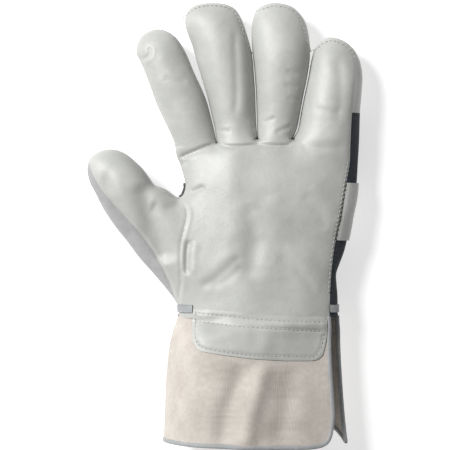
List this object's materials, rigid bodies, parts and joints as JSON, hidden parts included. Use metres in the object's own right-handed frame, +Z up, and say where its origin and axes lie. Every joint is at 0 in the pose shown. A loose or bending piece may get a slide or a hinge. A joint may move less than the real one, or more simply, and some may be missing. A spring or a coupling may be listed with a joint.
{
  "type": "work glove",
  "caption": "Left-hand leather palm work glove with a cloth back, knuckle strap, pulse patch and flared canvas cuff; the fingers, thumb and cuff fold.",
  "frame": {"origin": "below the middle of the glove on the surface that it lies on", "axes": "+Z up out of the palm, +Y towards the fingertips, -X towards the thumb"},
  "size_m": [0.1643, 0.2666, 0.047],
  "materials": {
    "palm_leather": "smooth grain, semi-matt",
    "back_leather": "split suede side, matt",
    "cotton_lining": "brushed cotton",
    "drill_cloth": "matt twill",
    "cuff_canvas": "rubberised canvas, matt",
    "binding_tape": "plain woven tape",
    "elastic": "braided elastic",
    "thread": "twisted sewing thread"
  },
  "bodies": {
    "hand": {"palm_leather": "palm_leather", "palm_lining": "cotton_lining", "back_panel": "drill_cloth", "knuckle_strap": "back_leather", "strap_thread": "thread", "wrist_elastic": "elastic", "wrist_tape": "binding_tape", "wrist_tape_front": "binding_tape", "side_seam_thread": "thread", "thumb_root_front": "palm_leather", "thumb_root_back": "back_leather"},
    "cuff": {"cuff_canvas": "cuff_canvas", "cuff_binding": "binding_tape", "pulse_patch": "back_leather", "patch_thread": "thread", "binding_thread": "thread"},
    "index_lower": {"index_front_lower": "palm_leather", "index_back_lower": "back_leather"},
    "index_tip": {"index_front_tip": "palm_leather", "index_tip_cap": "back_leather", "index_tip_thread": "thread"},
    "middle_lower": {"middle_front_lower": "palm_leather", "middle_back_lower": "drill_cloth"},
    "middle_tip": {"middle_front_tip": "palm_leather", "middle_tip_cap": "back_leather", "middle_tip_thread": "thread"},
    "ring_lower": {"ring_front_lower": "palm_leather", "ring_back_lower": "drill_cloth"},
    "ring_tip": {"ring_front_tip": "palm_leather", "ring_tip_cap": "back_leather", "ring_tip_thread": "thread"},
    "little_lower": {"little_front_lower": "palm_leather", "little_back_lower": "drill_cloth"},
    "little_tip": {"little_front_tip": "palm_leather", "little_tip_cap": "back_leather", "little_tip_thread": "thread"},
    "thumb_lower": {"thumb_front_lower": "palm_leather", "thumb_back_lower": "back_leather"},
    "thumb_tip": {"thumb_front_tip": "palm_leather", "thumb_back_tip": "back_leather", "thumb_tip_thread": "thread"}
  },
  "joints": [
    {"name": "index_knuckle", "type": "hinge", "parent": "hand", "child": "index_lower", "pos_m": [-0.03, 0.05, 0.0356], "axis": [1, 0, 0], "range_deg": [0, 60]},
    {"name": "index_middle", "type": "hinge", "parent": "index_lower", "child": "index_tip", "pos_m": [-0.03, 0.076, 0.0315], "axis": [1, 0, 0], "range_deg": [0, 65]},
    {"name": "middle_knuckle", "type": "hinge", "parent": "hand", "child": "middle_lower", "pos_m": [0.002, 0.05, 0.0356], "axis": [1, 0, 0], "range_deg": [0, 60]},
    {"name": "middle_middle", "type": "hinge", "parent": "middle_lower", "child": "middle_tip", "pos_m": [0.002, 0.083, 0.0315], "axis": [1, 0, 0], "range_deg": [0, 65]},
    {"name": "ring_knuckle", "type": "hinge", "parent": "hand", "child": "ring_lower", "pos_m": [0.031, 0.05, 0.0356], "axis": [1, 0, 0], "range_deg": [0, 60]},
    {"name": "ring_middle", "type": "hinge", "parent": "ring_lower", "child": "ring_tip", "pos_m": [0.031, 0.083, 0.0315], "axis": [1, 0, 0], "range_deg": [0, 65]},
    {"name": "little_knuckle", "type": "hinge", "parent": "hand", "child": "little_lower", "pos_m": [0.062, 0.05, 0.0356], "axis": [1, 0, 0], "range_deg": [0, 60]},
    {"name": "little_middle", "type": "hinge", "parent": "little_lower", "child": "little_tip", "pos_m": [0.062, 0.0667, 0.0315], "axis": [1, 0, 0], "range_deg": [0, 65]},
    {"name": "thumb_base", "type": "hinge", "parent": "hand", "child": "thumb_lower", "pos_m": [-0.0424, 0.0039, 0.0362], "axis": [0.8028, 0.5962, 0], "range_deg": [0, 45]},
    {"name": "thumb_middle", "type": "hinge", "parent": "thumb_lower", "child": "thumb_tip", "pos_m": [-0.06068, 0.02147, 0.0376], "axis": [0.8028, 0.5962, 0], "range_deg": [0, 50]},
    {"name": "cuff_fold", "type": "hinge", "parent": "hand", "child": "cuff", "pos_m": [0.02, -0.054, 0.0416], "axis": [-1, 0, 0], "range_deg": [0, 50]}
  ]
}
